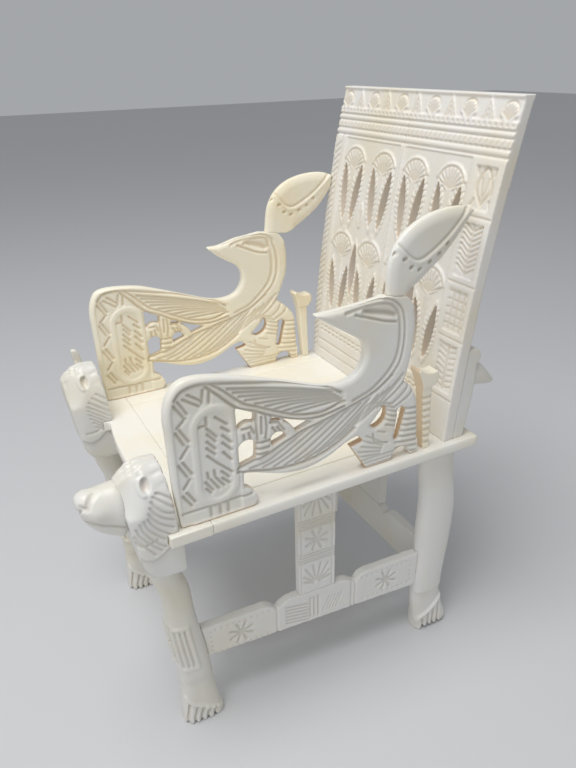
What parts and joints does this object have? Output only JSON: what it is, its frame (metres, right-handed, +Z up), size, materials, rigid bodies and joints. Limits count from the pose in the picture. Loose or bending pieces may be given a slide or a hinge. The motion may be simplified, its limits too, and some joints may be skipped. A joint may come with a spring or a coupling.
{
  "type": "throne chair",
  "caption": "Miniature throne chair of carved bone with lion heads, winged bird arm panels, a tall pierced back, paw feet and carved stretchers.",
  "frame": {"origin": "on the floor, under the middle of the chair's bounding box", "axes": "+Z up, -Y the way the sitter faces, +X the sitter's left"},
  "size_m": [0.093, 0.1406, 0.1923],
  "materials": {
    "bone": "satin",
    "bone_seat": "satin",
    "bone_cream": "satin",
    "bone_back": "satin",
    "bone_pin": "matte"
  },
  "bodies": {
    "root": {"seat_front_strip": "bone_seat", "seat_side_strip_left": "bone_seat", "seat_side_strip_right": "bone_seat", "seat_plank_left": "bone_seat", "seat_plank_right": "bone_seat", "arm_crown_left": "bone", "arm_crown_right": "bone_cream", "arm_dowels_left": "bone_pin", "arm_dowels_right": "bone_pin", "arm_panel_left": "bone", "arm_panel_right": "bone_cream", "arm_post_left": "bone_cream", "arm_post_right": "bone_cream", "back_dowels": "bone_pin", "back_plate_left": "bone_back", "back_plate_right": "bone_back", "front_leg_left": "bone", "front_leg_right": "bone", "lion_head_left": "bone", "lion_head_right": "bone", "lion_muzzle_left": "bone", "rear_leg_left": "bone", "rear_leg_right": "bone", "rear_post_left": "bone", "rear_post_right": "bone", "rear_stretcher": "bone", "rear_strut": "bone", "side_stretcher_left": "bone", "side_stretcher_right": "bone", "side_strut_left": "bone", "side_strut_right": "bone", "strut_cleat_left": "bone", "strut_cleat_right": "bone"}
  },
  "joints": []
}
